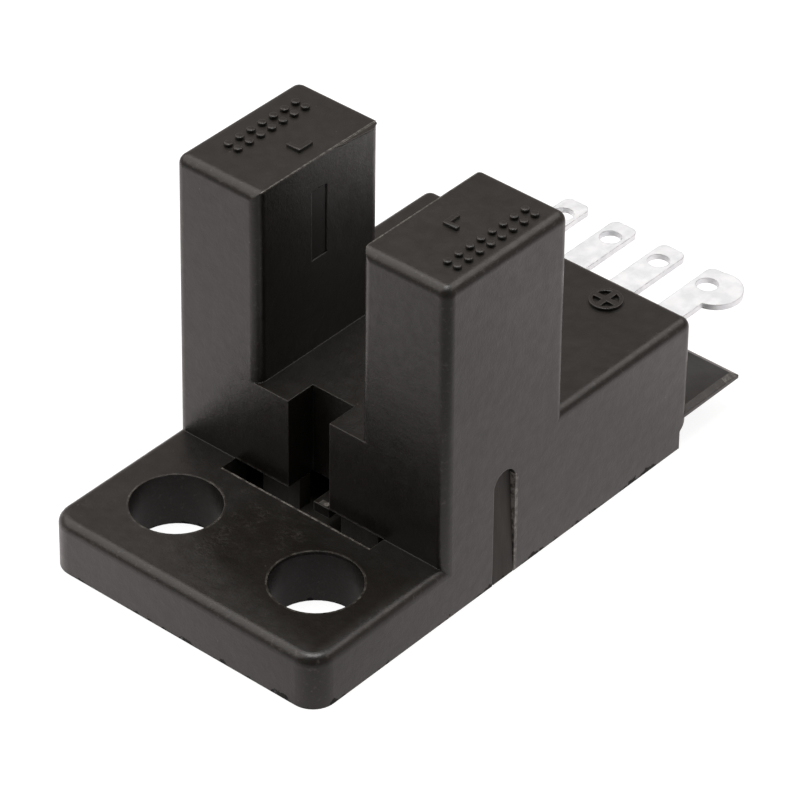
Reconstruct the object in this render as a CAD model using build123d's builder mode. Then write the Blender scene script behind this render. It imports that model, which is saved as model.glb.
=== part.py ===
"""Slotted optical switch: a light barrier with a 5 mm slot, a screw flange and four blade terminals.

Millimetres, +Z up. X runs across the slot, Y runs from the screw flange back to the terminals.
The origin is midway between the two screw holes, on the underside.
"""
from build123d import *
import os

os.makedirs("parts", exist_ok=True)

# Case, outside
case_width = 13.42
case_height = 15.0
slot_width = 5.0
case_lean = 0.12
slot_floor_height = 6.4
arm_depth = 6.85
body_depth = 7.85
body_height = 6.0
edge_radius = 0.42

# Case, walls
side_wall = 0.75
front_wall = 0.6
rear_wall = 1.25
slot_wall = 0.7
arm_top_wall = 0.9
roof_wall = 0.75

# Screw flange
flange_front_reach = 3.65
flange_rear_reach = 3.55
flange_thickness = 2.35
flange_corner_radius = 1.0
flange_edge_radius = 0.42
screw_hole_diameter = 3.6
screw_hole_spacing = 7.0

# Hook pocket in the flange and upright channel in the wall under the slot
pocket_width = 7.45
pocket_reach = 0.75
channel_width = 2.06
channel_depth = 1.4
channel_wall = 0.6
channel_ledge_width = 0.75
channel_ledge_thickness = 0.45
channel_ledge_clearance = 0.03

# Light slits
slit_width = 0.85
slit_height = 3.1
beam_drop = 2.95
window_set_back = 0.05
window_thickness = 0.5
window_clearance = 0.02

# Latch slots in the sides of the case
latch_slot_width = 1.25
latch_slot_height = 5.1
latch_recess = 0.3

# Rear of the case: shelf under the terminals and the undercut below it
shelf_depth = 3.15
shelf_height = 1.65
shelf_thickness = 0.3
shelf_rim_thickness = 0.15
shelf_bevel_angle = 61
undercut_depth = 0.55
undercut_height = 0.8

# Base cover
cover_recess = 0.02
cover_thickness = 0.85
cover_clearance = 0.05
hook_thickness = 0.6
hook_inner_offset = 1.05
hook_outer_offset = 2.9
hook_tongue_inner_offset = 1.8
hook_tongue_height = 1.5
cover_post_width = 0.8
front_post_offset = 2.4
front_post_set_back = 2.35
rear_post_inset = 0.7
rear_post_set_back = 3.4

# Circuit board
board_height = 3.5
board_thickness = 0.8
board_clearance = 0.2
board_front_gap = 0.25
board_notch_clearance = 0.15
stop_post_width = 0.8
stop_post_inset = 0.5
stop_post_set_back = 0.6

# Emitter and receiver packages
package_width = 4.2
package_thickness = 1.6
package_height = 4.0
package_rise = 2.05
package_clearance = 0.05
package_corner_radius = 0.25
emitter_lens_radius = 0.7
receiver_lens_radius = 1.1
receiver_lens_rise = 0.35
lead_width = 0.5
lead_thickness = 0.4
lead_insertion = 1.2
lead_protrusion = 0.7
lead_hole_diameter = 0.85
emitter_lead_pitch = 2.54
receiver_lead_pitch = 1.27

# Solder
solder_radius = 0.55
solder_tip_radius = 0.38
solder_height = 0.5
terminal_solder_length = 0.4

# Terminals
terminal_count = 4
terminal_pitch = 2.45
terminal_thickness = 0.25
terminal_width = 1.25
terminal_reach = 5.95
terminal_inner_length = 2.3
terminal_tip_radius = 0.35
terminal_hole_diameter = 0.9
terminal_hole_to_tip = 1.07
terminal_slot_clearance = 0.05
ear_radius = 1.15
ear_offset = 0.38

# Parts on the board
chip_length = 3.0
chip_width = 3.0
chip_height = 0.95
chip_stand_off = 0.1
chip_legs_a_side = 4
chip_leg_pitch = 0.65
chip_leg_width = 0.3
chip_leg_reach = 0.95
chip_leg_thickness = 0.16
chip_to_terminals = 1.6
transistor_length = 2.9
transistor_width = 1.3
transistor_height = 1.0
transistor_leg_pitch = 1.9
transistor_edge_gap = 0.35
transistor_post_gap = 0.45
diode_length = 1.7
diode_width = 1.25
diode_height = 0.95
diode_edge_gap = 0.25
diode_post_gap = 0.25
small_leg_reach = 0.5
small_leg_width = 0.45
small_leg_thickness = 0.16
brick_length = 2.0
brick_width = 1.25
cap_length = 0.4
cap_step = 0.04
resistor_height = 0.5
resistor_edge_inset = 2.2
resistor_set_back = 4.5
capacitor_height = 0.8
capacitor_set_back = 1.5

# Places that follow from the sizes above
half_case = case_width / 2
half_slot = slot_width / 2
arm_front = flange_rear_reach
arm_back = arm_front + arm_depth
arm_middle = (arm_front + arm_back) / 2
body_back = arm_back + body_depth
arm_width = half_case - half_slot
cavity_half_width = half_case - side_wall
cavity_front = arm_front + front_wall
cavity_back = body_back - rear_wall
roof_height = body_height - roof_wall
board_top = board_height + board_thickness
board_half_width = cavity_half_width - board_clearance
cover_front = cavity_front + cover_clearance
hook_back = cover_front + hook_thickness
board_front = hook_back + board_front_gap
board_back = cavity_back - board_clearance
cover_top = cover_recess + cover_thickness
cover_half_width = cavity_half_width - cover_clearance
cover_back = cavity_back - cover_clearance
latch_middle = arm_middle
beam_height = case_height - beam_drop
package_outer = cavity_half_width - package_clearance
package_middle = package_outer - package_thickness / 2
package_bottom = beam_height - package_rise
lead_bottom = board_height - lead_protrusion
terminal_top = board_height
terminal_bottom = terminal_top - terminal_thickness
terminal_tip = body_back + terminal_reach
terminal_inner_end = cavity_back - terminal_inner_length
terminal_places = [(index - (terminal_count - 1) / 2) * terminal_pitch for index in range(terminal_count)]
emitter_lead_places = [arm_middle + end * emitter_lead_pitch / 2 for end in (-1, 1)]
receiver_lead_places = [arm_middle + step * receiver_lead_pitch for step in (-1, 0, 1)]
front_posts = [(side * front_post_offset, arm_front + front_post_set_back) for side in (-1, 1)]
rear_post_offset = board_half_width - rear_post_inset
rear_post_middle = cavity_back - rear_post_set_back
rear_post_front = rear_post_middle - cover_post_width / 2
cover_posts = front_posts + [(side * rear_post_offset, rear_post_middle) for side in (-1, 1)]
rear_stop_offset = board_half_width - stop_post_inset
stop_posts = front_posts + [(side * rear_stop_offset, board_back - stop_post_set_back) for side in (-1, 1)]
transistor_x = board_half_width - transistor_edge_gap - small_leg_reach - transistor_width / 2
transistor_y = rear_post_front - transistor_post_gap - transistor_length / 2
diode_x = -(board_half_width - diode_edge_gap - diode_width / 2)
diode_y = rear_post_front - diode_post_gap - small_leg_reach - diode_length / 2
chip_left = diode_x + diode_width / 2
chip_right = transistor_x - transistor_width / 2 - small_leg_reach
chip_back = terminal_inner_end - terminal_solder_length - chip_to_terminals
chip_place = ((chip_left + chip_right) / 2, chip_back - chip_length / 2)
resistor_offset = board_half_width - resistor_edge_inset
resistor_y = board_back - resistor_set_back
low_front = (Align.CENTER, Align.MIN)


def lean_wedge(side):
    """What the draft of the mould takes off one side of the case, which leans in from foot to top."""
    with BuildPart() as wedge:
        with BuildSketch(Plane.XZ.offset(-terminal_tip)):
            with BuildLine():
                Polyline(
                    (side * half_case, 0),
                    (side * (half_case + side_wall), 0),
                    (side * (half_case + side_wall), 2 * case_height),
                    (side * (half_case - 2 * case_lean), 2 * case_height),
                    close=True,
                )
            make_face()
        extrude(amount=terminal_tip + 2 * flange_front_reach)
    return wedge.part


def is_upright(edge):
    """Says whether an edge stands, straight or leaning."""
    return abs((edge @ 1 - edge @ 0).Z) > edge.length / 2


lean_wedges = [lean_wedge(side) for side in (-1, 1)]

# Case: the flange block, with round corners and rolled upper edges, reaching in past the rounded arms
with BuildPart() as flange:
    with BuildSketch():
        with Locations((0, -flange_front_reach)):
            Rectangle(case_width, flange_front_reach + flange_rear_reach + 2 * edge_radius, align=low_front)
    extrude(amount=flange_thickness)
    for wedge in lean_wedges:
        add(wedge, mode=Mode.SUBTRACT)
    fillet(flange.edges().filter_by(is_upright).group_by(Axis.Y)[0], flange_corner_radius)
    flange_rim = flange.faces().sort_by(Axis.Z)[-1].edges().sort_by(Axis.Y)[:-1]
    fillet(flange_rim, flange_edge_radius)

# Case: the low body, from the front of the arms to the terminals
with BuildPart() as body:
    with BuildSketch():
        with Locations((0, arm_front)):
            Rectangle(case_width, arm_depth + body_depth, align=low_front)
    extrude(amount=body_height)
    for wedge in lean_wedges:
        add(wedge, mode=Mode.SUBTRACT)
    body_top = body.faces().sort_by(Axis.Z)[-1].edges().sort_by(Axis.Y)[1:]
    body_uprights = body.edges().filter_by(is_upright)
    fillet(body_top + body_uprights, edge_radius)
    with BuildSketch(Plane.YZ.offset(-half_case)) as undercut_profile:
        with BuildLine():
            Polyline(
                (body_back - undercut_depth, 0),
                (body_back - undercut_depth, undercut_height),
                (body_back, undercut_height + undercut_depth),
                (body_back, 0),
                close=True,
            )
        make_face()
    extrude(amount=case_width, mode=Mode.SUBTRACT)

# Case: the two arms, rolled on every edge but the upper one beside the slot
with BuildPart() as arms:
    with BuildSketch():
        with Locations(*[(side * (half_slot + half_case) / 2, arm_middle) for side in (-1, 1)]):
            Rectangle(arm_width, arm_depth)
    extrude(amount=case_height)
    for wedge in lean_wedges:
        add(wedge, mode=Mode.SUBTRACT)
    arm_top = arms.edges().group_by(Axis.Z)[-1]
    inner_top = arm_top.filter_by(lambda edge: abs(edge.center().X) < half_slot + edge_radius)
    arm_uprights = arms.edges().filter_by(is_upright)
    fillet(arm_top - inner_top + arm_uprights, edge_radius)

# Case: the thin shelf under the terminals, level with the sides and bevelled round its free edges
shelf_bottom = shelf_height - shelf_thickness
with BuildPart() as shelf:
    for foot, rise, lean in ((shelf_bottom, shelf_rim_thickness, 0),
                             (shelf_bottom + shelf_rim_thickness, shelf_thickness - shelf_rim_thickness,
                              shelf_bevel_angle)):
        with BuildSketch(Plane.XY.offset(foot)):
            with Locations((0, cavity_back)):
                Rectangle(case_width, rear_wall + shelf_depth, align=low_front)
        extrude(amount=rise, taper=lean)
    for wedge in lean_wedges:
        add(wedge, mode=Mode.SUBTRACT)

with BuildPart() as case:
    add(body.part)
    add(arms.part)
    add(flange.part)
    # Wall under the slot, level with the fronts of the arms
    with BuildSketch():
        with Locations((0, arm_front)):
            Rectangle(slot_width + arm_width, arm_depth, align=low_front)
    extrude(amount=slot_floor_height)
    add(shelf.part)
    # Room for the board, open below, with the walls of the channel left standing in it
    with BuildSketch(Plane.XY.offset(flange_thickness)):
        with Locations((0, cavity_front)):
            Rectangle(2 * cavity_half_width, cavity_back - cavity_front, align=low_front)
        with Locations((0, arm_front)):
            Rectangle(channel_width + 2 * channel_wall, channel_depth + channel_wall, align=low_front,
                      mode=Mode.SUBTRACT)
    extrude(amount=roof_height - flange_thickness, mode=Mode.SUBTRACT)
    with BuildSketch():
        with Locations((0, cavity_front)):
            Rectangle(2 * cavity_half_width, cavity_back - cavity_front, align=low_front)
    extrude(amount=flange_thickness, mode=Mode.SUBTRACT)
    # Hollow of each arm
    hollow_width = cavity_half_width - half_slot - slot_wall
    with BuildSketch():
        hollow_offset = cavity_half_width - hollow_width / 2
        with Locations(*[(side * hollow_offset, arm_middle) for side in (-1, 1)]):
            Rectangle(hollow_width, arm_depth - 2 * side_wall)
    extrude(amount=case_height - arm_top_wall, mode=Mode.SUBTRACT)
    # Stops above the corners of the board
    with BuildSketch(Plane.XY.offset(board_top)):
        with Locations(*stop_posts):
            Rectangle(stop_post_width, stop_post_width)
    extrude(amount=roof_height - board_top)
    # Hook pocket through the flange, reaching under the wall
    with BuildSketch():
        with Locations((0, arm_front - pocket_reach)):
            Rectangle(pocket_width, pocket_reach + front_wall, align=low_front)
    extrude(amount=flange_thickness, mode=Mode.SUBTRACT)
    # Upright channel in the wall under the slot
    with BuildSketch(Plane.XY.offset(flange_thickness)):
        with Locations((0, arm_front)):
            Rectangle(channel_width, channel_depth, align=low_front)
    extrude(amount=slot_floor_height - flange_thickness, mode=Mode.SUBTRACT)
    # Ledge across one side of the foot of the channel
    ledge_inner = channel_width / 2 - channel_ledge_clearance - channel_ledge_width
    with BuildSketch(Plane.XY.offset(flange_thickness - channel_ledge_thickness)):
        with Locations((ledge_inner, arm_front)):
            Rectangle(channel_ledge_width, channel_depth + channel_wall, align=Align.MIN)
    extrude(amount=channel_ledge_thickness)
    # Light slits through the inner walls of the arms
    with BuildSketch(Plane.YZ.offset(-half_slot - slot_wall)):
        with Locations((arm_middle, beam_height)):
            Rectangle(slit_width, slit_height)
    extrude(amount=slot_width + 2 * slot_wall, mode=Mode.SUBTRACT)
    # Latch slots, open below and round above, for the cover's latches
    for wall_start in (-half_case, cavity_half_width):
        with BuildSketch(Plane.YZ.offset(wall_start)):
            with Locations((latch_middle, 0)):
                Rectangle(latch_slot_width, latch_slot_height - latch_slot_width / 2, align=low_front)
            with Locations((latch_middle, latch_slot_height - latch_slot_width / 2)):
                Circle(latch_slot_width / 2)
        extrude(amount=side_wall, mode=Mode.SUBTRACT)
    # Slots for the terminals through the rear wall
    with BuildSketch(Plane.XZ.offset(-body_back)):
        with Locations(*[(place, terminal_top - terminal_thickness / 2) for place in terminal_places]):
            Rectangle(terminal_width + 2 * terminal_slot_clearance,
                      terminal_thickness + 2 * terminal_slot_clearance)
    extrude(amount=rear_wall, mode=Mode.SUBTRACT)
    # Screw holes
    with Locations(*[(side * screw_hole_spacing / 2, 0, 0) for side in (-1, 1)]):
        Cylinder(screw_hole_diameter / 2, 2 * flange_thickness, mode=Mode.SUBTRACT)
case.part.label = "case"
export_step(case.part, "parts/case.step")

# Base cover: plate, side latches that lean in towards their tops, front hooks and posts for the board
with BuildPart() as base_cover:
    with BuildSketch(Plane.XY.offset(cover_recess)):
        with Locations((0, cover_front)):
            Rectangle(2 * cover_half_width, cover_back - cover_front, align=low_front)
    extrude(amount=cover_thickness)
    latch_width = latch_slot_width - 2 * cover_clearance
    latch_round = latch_slot_height - latch_slot_width / 2
    for side in (-1, 1):
        latch_start = min(side * cover_half_width, side * half_case)
        with BuildSketch(Plane.YZ.offset(latch_start)):
            with Locations((latch_middle, cover_recess)):
                Rectangle(latch_width, latch_round - cover_recess, align=low_front)
            with Locations((latch_middle, latch_round)):
                Circle(latch_width / 2)
        extrude(amount=half_case - cover_half_width)
        with BuildSketch(Plane.XZ.offset(-latch_middle - latch_width / 2)):
            with BuildLine():
                Polyline(
                    (side * half_case, cover_recess),
                    (side * half_case, latch_slot_height),
                    (side * (half_case - latch_recess), latch_slot_height),
                    close=True,
                )
            make_face()
        extrude(amount=latch_width, mode=Mode.SUBTRACT)
    for side in (-1, 1):
        hook_middle = side * (hook_inner_offset + hook_outer_offset) / 2
        tongue_middle = side * (hook_tongue_inner_offset + hook_outer_offset) / 2
        with BuildSketch(Plane.XY.offset(cover_recess)):
            with Locations((hook_middle, cover_front)):
                Rectangle(hook_outer_offset - hook_inner_offset, hook_thickness, align=low_front)
        extrude(amount=flange_thickness - cover_clearance - cover_recess)
        with BuildSketch(Plane.XY.offset(cover_recess)):
            with Locations((tongue_middle, cover_front)):
                Rectangle(hook_outer_offset - hook_tongue_inner_offset, hook_thickness, align=low_front)
        extrude(amount=flange_thickness + hook_tongue_height - cover_recess)
    with BuildSketch(Plane.XY.offset(cover_top)):
        with Locations(*cover_posts):
            Rectangle(cover_post_width, cover_post_width)
    extrude(amount=board_height - cover_top)
base_cover.part.label = "base_cover"
export_step(base_cover.part, "parts/base_cover.step")

# Circuit board, notched round the channel and drilled for the leads
lead_points = [(package_middle, place) for place in emitter_lead_places]
lead_points += [(-package_middle, place) for place in receiver_lead_places]
with BuildPart() as circuit_board:
    with BuildSketch(Plane.XY.offset(board_height)):
        with Locations((0, board_front)):
            Rectangle(2 * board_half_width, board_back - board_front, align=low_front)
        with Locations((0, arm_front)):
            notch_width = channel_width + 2 * (channel_wall + board_notch_clearance)
            notch_depth = channel_depth + channel_wall + board_notch_clearance
            Rectangle(notch_width, notch_depth, align=low_front, mode=Mode.SUBTRACT)
        with Locations(*lead_points):
            Circle(lead_hole_diameter / 2, mode=Mode.SUBTRACT)
    extrude(amount=board_thickness)
circuit_board.part.label = "circuit_board"
export_step(circuit_board.part, "parts/circuit_board.step")

# Infrared emitter: a moulded block with a round lens towards the slot
with BuildPart() as infrared_emitter:
    with BuildSketch(Plane.XY.offset(package_bottom)):
        with Locations((package_middle, arm_middle)):
            RectangleRounded(package_thickness, package_width, package_corner_radius)
    extrude(amount=package_height)
    with Locations((package_middle - package_thickness / 2, arm_middle, beam_height)):
        Sphere(emitter_lens_radius)
    with BuildSketch(Plane.XY.offset(package_bottom)):
        with Locations(*[(package_middle, place) for place in emitter_lead_places]):
            Rectangle(lead_thickness, lead_width)
    extrude(amount=lead_insertion, mode=Mode.SUBTRACT)
infrared_emitter.part.label = "infrared_emitter"
export_step(infrared_emitter.part, "parts/infrared_emitter.step")

# Light receiver: the same block with a flatter, wider lens
receiver_lens_sphere = (receiver_lens_radius**2 + receiver_lens_rise**2) / (2 * receiver_lens_rise)
with BuildPart() as receiver_lens:
    with BuildSketch(Plane.XZ):
        with BuildLine():
            RadiusArc((0, receiver_lens_rise), (receiver_lens_radius, 0), receiver_lens_sphere)
            Polyline((receiver_lens_radius, 0), (0, 0), (0, receiver_lens_rise))
        make_face()
    revolve(axis=Axis.Z)
lens_plane = Plane(origin=(-package_middle + package_thickness / 2, arm_middle, beam_height),
                   x_dir=(0, 1, 0), z_dir=(1, 0, 0))
with BuildPart() as light_receiver:
    with BuildSketch(Plane.XY.offset(package_bottom)):
        with Locations((-package_middle, arm_middle)):
            RectangleRounded(package_thickness, package_width, package_corner_radius)
    extrude(amount=package_height)
    with Locations(lens_plane):
        add(receiver_lens.part)
    with BuildSketch(Plane.XY.offset(package_bottom)):
        with Locations(*[(-package_middle, place) for place in receiver_lead_places]):
            Rectangle(lead_thickness, lead_width)
    extrude(amount=lead_insertion, mode=Mode.SUBTRACT)
light_receiver.part.label = "light_receiver"
export_step(light_receiver.part, "parts/light_receiver.step")


def write_window(name, side):
    """Writes the dark pane that closes one light slit, set in almost level with the wall of the slot."""
    pane_faces = [side * (half_slot + window_set_back + depth) for depth in (0, window_thickness)]
    with BuildPart() as window:
        with BuildSketch(Plane.YZ.offset(min(pane_faces))):
            with Locations((arm_middle, beam_height)):
                Rectangle(slit_width - 2 * window_clearance, slit_height - 2 * window_clearance)
        extrude(amount=window_thickness)
    window.part.label = name
    export_step(window.part, f"parts/{name}.step")


write_window("emitter_window", 1)
write_window("receiver_window", -1)


def write_lead(name, middle, place):
    """Writes one square lead, from inside its package down through the board."""
    with BuildPart() as lead:
        with BuildSketch(Plane.XY.offset(lead_bottom)):
            with Locations((middle, place)):
                Rectangle(lead_thickness, lead_width)
        extrude(amount=package_bottom + lead_insertion - lead_bottom)
    lead.part.label = name
    export_step(lead.part, f"parts/{name}.step")


emitter_lead_names = ["emitter_cathode_lead", "emitter_anode_lead"]
for name, place in zip(emitter_lead_names, emitter_lead_places):
    write_lead(name, package_middle, place)
receiver_lead_names = ["receiver_supply_lead", "receiver_output_lead", "receiver_ground_lead"]
for name, place in zip(receiver_lead_names, receiver_lead_places):
    write_lead(name, -package_middle, place)

# Solder cones under the board, one round each lead
with BuildPart() as lead_solder:
    with Locations(*[(*point, board_height - solder_height / 2) for point in lead_points]):
        Cone(solder_tip_radius, solder_radius, solder_height)
    with BuildSketch(Plane.XY.offset(board_height - solder_height)):
        with Locations(*lead_points):
            Rectangle(lead_thickness, lead_width)
    extrude(amount=solder_height, mode=Mode.SUBTRACT)
lead_solder.part.label = "lead_solder"
export_step(lead_solder.part, "parts/lead_solder.step")


def ear_plan(place):
    """Draws the broad ear beside the head of the outer terminal."""
    hole_y = terminal_tip - terminal_hole_to_tip
    with BuildSketch(Plane.XY.offset(terminal_bottom)) as plan:
        with Locations((place + ear_offset, hole_y)):
            Circle(ear_radius)
        with Locations((place, hole_y)):
            Rectangle(2 * ear_radius, 2 * ear_radius, align=(Align.MAX, Align.CENTER), mode=Mode.SUBTRACT)
    return plan.sketch


def write_terminal(name, place, ear):
    """Writes one blade terminal: from under the board, through the rear wall, to its wire hole and tip."""
    with BuildPart() as terminal:
        with BuildSketch(Plane.XY.offset(terminal_bottom)) as blade:
            with Locations((place, terminal_inner_end)):
                Rectangle(terminal_width, terminal_tip - terminal_inner_end, align=low_front)
            fillet(blade.vertices().group_by(Axis.Y)[-1], terminal_tip_radius)
            if ear:
                add(ear_plan(place))
            with Locations((place, terminal_tip - terminal_hole_to_tip)):
                Circle(terminal_hole_diameter / 2, mode=Mode.SUBTRACT)
        extrude(amount=terminal_thickness)
    terminal.part.label = name
    export_step(terminal.part, f"parts/{name}.step")


for index, place in enumerate(terminal_places):
    write_terminal(f"terminal_{index + 1}", place, ear=index == len(terminal_places) - 1)

# Solder at the inner end of each terminal
with BuildPart() as terminal_solder:
    for place in terminal_places:
        with BuildSketch(Plane.YZ.offset(place - terminal_width / 2)):
            with BuildLine():
                Polyline(
                    (terminal_inner_end, terminal_bottom),
                    (terminal_inner_end, terminal_top),
                    (terminal_inner_end - terminal_solder_length, terminal_top),
                    close=True,
                )
            make_face()
        extrude(amount=terminal_width)
terminal_solder.part.label = "terminal_solder"
export_step(terminal_solder.part, "parts/terminal_solder.step")


def write_legged_part(name, body_size, place, legs, leg_size):
    """Writes a moulded part under the board: a block with flat legs bent up to the board's pads."""
    length, width, height = body_size
    leg_reach, leg_width, leg_thickness = leg_size
    body_bottom = board_height - chip_stand_off - height
    leg_middle = body_bottom + height / 2
    half_reach = leg_reach / 2
    with BuildPart() as legged:
        with BuildSketch(Plane.XY.offset(body_bottom)):
            with Locations(place):
                Rectangle(width, length)
        extrude(amount=height)
        for side, leg_place in legs:
            root_x = place[0] + side * width / 2
            knee_x = root_x + side * half_reach
            with BuildSketch(Plane.XZ.offset(-place[1] - leg_place - leg_width / 2)):
                with Locations(((root_x + knee_x) / 2, leg_middle)):
                    Rectangle(half_reach + leg_thickness, leg_thickness)
                with Locations((knee_x, leg_middle - leg_thickness / 2)):
                    Rectangle(leg_thickness, board_height - leg_middle + leg_thickness / 2, align=low_front)
                with Locations((knee_x + side * half_reach / 2, board_height - leg_thickness / 2)):
                    Rectangle(half_reach, leg_thickness)
            extrude(amount=leg_width)
    legged.part.label = name
    export_step(legged.part, f"parts/{name}.step")


chip_leg_places = [(step - (chip_legs_a_side - 1) / 2) * chip_leg_pitch for step in range(chip_legs_a_side)]
chip_legs = [(side, place) for side in (-1, 1) for place in chip_leg_places]
write_legged_part("amplifier_chip", (chip_length, chip_width, chip_height), chip_place, chip_legs,
                  (chip_leg_reach, chip_leg_width, chip_leg_thickness))
transistor_legs = [(-1, -transistor_leg_pitch / 2), (-1, transistor_leg_pitch / 2), (1, 0)]
transistor_size = (transistor_length, transistor_width, transistor_height)
write_legged_part("output_transistor", transistor_size, (transistor_x, transistor_y), transistor_legs,
                  (small_leg_reach, small_leg_width, small_leg_thickness))

# Protection diode under the board, with its flat legs at the ends
with BuildPart() as protection_diode:
    with BuildSketch(Plane.XY.offset(board_height - chip_stand_off - diode_height)):
        with Locations((diode_x, diode_y)):
            Rectangle(diode_width, diode_length)
    extrude(amount=diode_height)
    with BuildSketch(Plane.XY.offset(board_height - small_leg_thickness)):
        with Locations((diode_x, diode_y)):
            Rectangle(small_leg_width, diode_length + 2 * small_leg_reach)
    extrude(amount=small_leg_thickness)
protection_diode.part.label = "protection_diode"
export_step(protection_diode.part, "parts/protection_diode.step")


def write_end_capped_part(name, place, height):
    """Writes a small brick with wrapped metal ends on top of the board."""
    cap_offset = (brick_length - cap_length) / 2
    with BuildPart() as brick:
        with BuildSketch(Plane.XY.offset(board_top)):
            with Locations(*[(place[0] + side * cap_offset, place[1]) for side in (-1, 1)]):
                Rectangle(cap_length, brick_width)
        extrude(amount=height)
        with BuildSketch(Plane.XY.offset(board_top + cap_step)):
            with Locations(place):
                Rectangle(brick_length - cap_length, brick_width - 2 * cap_step)
        extrude(amount=height - 2 * cap_step)
    brick.part.label = name
    export_step(brick.part, f"parts/{name}.step")


resistors = {
    "emitter_resistor": (resistor_offset, resistor_y),
    "output_resistor": (0, resistor_y),
    "feedback_resistor": (-resistor_offset, resistor_y),
}
for name, place in resistors.items():
    write_end_capped_part(name, place, resistor_height)
write_end_capped_part("supply_capacitor", (0, board_back - capacitor_set_back), capacitor_height)
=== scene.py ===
# %% [markdown]
# # A slotted optical switch, dressed for its picture
#
# The object is a light barrier as big as a fingertip. A moulded black case has a screw flange in
# front, two upright arms with a 5 mm slot between them, and four flat terminals at the back. A light
# beam crosses the slot, and whatever passes through the slot breaks it.
#
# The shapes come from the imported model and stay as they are. This script adds what a shape alone
# doesn't have: the finish of each part, the small raised signs, the floor, the light and the camera.
# Lengths are written in millimetres and turned into metres by one short function.

import math

import bmesh
import bpy
from mathutils import Matrix, Vector


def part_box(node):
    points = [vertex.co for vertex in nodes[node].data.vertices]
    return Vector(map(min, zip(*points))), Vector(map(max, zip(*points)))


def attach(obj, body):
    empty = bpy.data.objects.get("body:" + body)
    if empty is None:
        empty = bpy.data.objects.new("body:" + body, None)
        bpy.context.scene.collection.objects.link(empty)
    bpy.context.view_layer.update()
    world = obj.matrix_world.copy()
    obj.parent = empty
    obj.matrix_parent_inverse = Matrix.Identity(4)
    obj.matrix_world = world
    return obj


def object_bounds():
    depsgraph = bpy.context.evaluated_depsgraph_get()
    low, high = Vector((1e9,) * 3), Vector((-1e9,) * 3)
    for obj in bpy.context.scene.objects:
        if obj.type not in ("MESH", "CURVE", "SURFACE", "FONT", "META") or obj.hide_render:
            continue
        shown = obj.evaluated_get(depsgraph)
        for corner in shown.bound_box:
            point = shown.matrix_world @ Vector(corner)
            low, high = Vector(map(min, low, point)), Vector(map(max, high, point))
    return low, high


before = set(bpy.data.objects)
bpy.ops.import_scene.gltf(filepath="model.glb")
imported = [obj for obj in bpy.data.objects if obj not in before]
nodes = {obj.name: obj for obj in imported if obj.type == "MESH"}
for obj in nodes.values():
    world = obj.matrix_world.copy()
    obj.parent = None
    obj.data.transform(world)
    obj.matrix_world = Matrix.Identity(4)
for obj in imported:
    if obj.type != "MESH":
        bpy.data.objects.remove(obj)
case_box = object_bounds()


def mm(length):
    """Millimetres to metres."""
    return length / 1000


print("parts:", len(nodes), "from", [round(x * 1000, 2) for x in case_box[0]],
      "to", [round(x * 1000, 2) for x in case_box[1]], "mm")

# %% [markdown]
# ## The camera
#
# The picture was taken with a long lens, from the right, above and in front of the flange. A long lens
# keeps the sides of the case nearly parallel, so the lens and the distance matter as much as the
# direction. The angles, the place and the lens were solved from the straight edges and the two screw
# holes, and are only written down here. The camera needs no shift, because it looks a little past the
# middle of the object.

# %% Camera
camera_azimuth = math.radians(40.281)
camera_elevation = math.radians(36.977)
camera_roll = math.radians(0.753)
camera_place = Vector((mm(94.855), mm(-103.148), mm(114.497)))
camera_lens = 217.21
sensor_width = 36
nearest_seen = mm(5)
furthest_seen = 20

towards_camera = Vector((math.sin(camera_azimuth) * math.cos(camera_elevation),
                         -math.cos(camera_azimuth) * math.cos(camera_elevation),
                         math.sin(camera_elevation)))
level_right = Vector((math.cos(camera_azimuth), math.sin(camera_azimuth), 0))
level_up = towards_camera.cross(level_right)
camera_right = level_right * math.cos(camera_roll) + level_up * math.sin(camera_roll)
camera_up = level_up * math.cos(camera_roll) - level_right * math.sin(camera_roll)

camera_data = bpy.data.cameras.new("camera")
camera_data.lens = camera_lens
camera_data.sensor_width = sensor_width
camera_data.clip_start = nearest_seen
camera_data.clip_end = furthest_seen
camera = bpy.data.objects.new("camera", camera_data)
camera.matrix_world = (Matrix((camera_right, camera_up, towards_camera)).transposed().to_4x4())
camera.location = camera_place
bpy.context.scene.collection.objects.link(camera)
bpy.context.scene.camera = camera
bpy.context.scene.view_settings.view_transform = "Standard"
print("camera at", [round(x * 1000, 1) for x in camera.location], "mm, lens", camera_lens)

# %% [markdown]
# ## Tools for materials
#
# Every finish below is a small graph of nodes. A few helpers keep the graphs readable. One turns a
# written colour into the linear values that the renderer works with, one starts an empty material, and
# one adds a node with its settings and its links. A pattern's scale is the number of its features in a
# metre, so it is worked out from the size of one feature in millimetres.
#
# A level between zero and one says how strongly a finish shows at a place. Two more helpers combine
# levels: all of them at once, which is their product, or any of them, which is the largest.

# %% Colour, material and node helpers


def colour(written):
    """A written sRGB colour such as "#27241f" as linear red, green, blue and alpha."""
    parts = [int(written[i:i + 2], 16) / 255 for i in (1, 3, 5)]
    linear = [p / 12.92 if p <= 0.04045 else ((p + 0.055) / 1.055) ** 2.4 for p in parts]
    return (*linear, 1.0)


def per_metre(feature_mm):
    """The scale of a pattern whose single feature is that many millimetres wide."""
    return 1000 / feature_mm


def add_node(tree, kind, settings, inputs):
    """Adds a node with its settings. An input is a value, or another node's output to link."""
    node = tree.nodes.new(kind)
    for name, value in settings.items():
        setattr(node, name, value)
    for name, value in inputs.items():
        if isinstance(value, bpy.types.NodeSocket):
            tree.links.new(value, node.inputs[name])
        else:
            node.inputs[name].default_value = value
    return node


def empty_material(name):
    """A new material with no nodes, and its tree."""
    material = bpy.data.materials.new(name)
    material.use_nodes = True
    material.node_tree.nodes.clear()
    return material, material.node_tree


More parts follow.
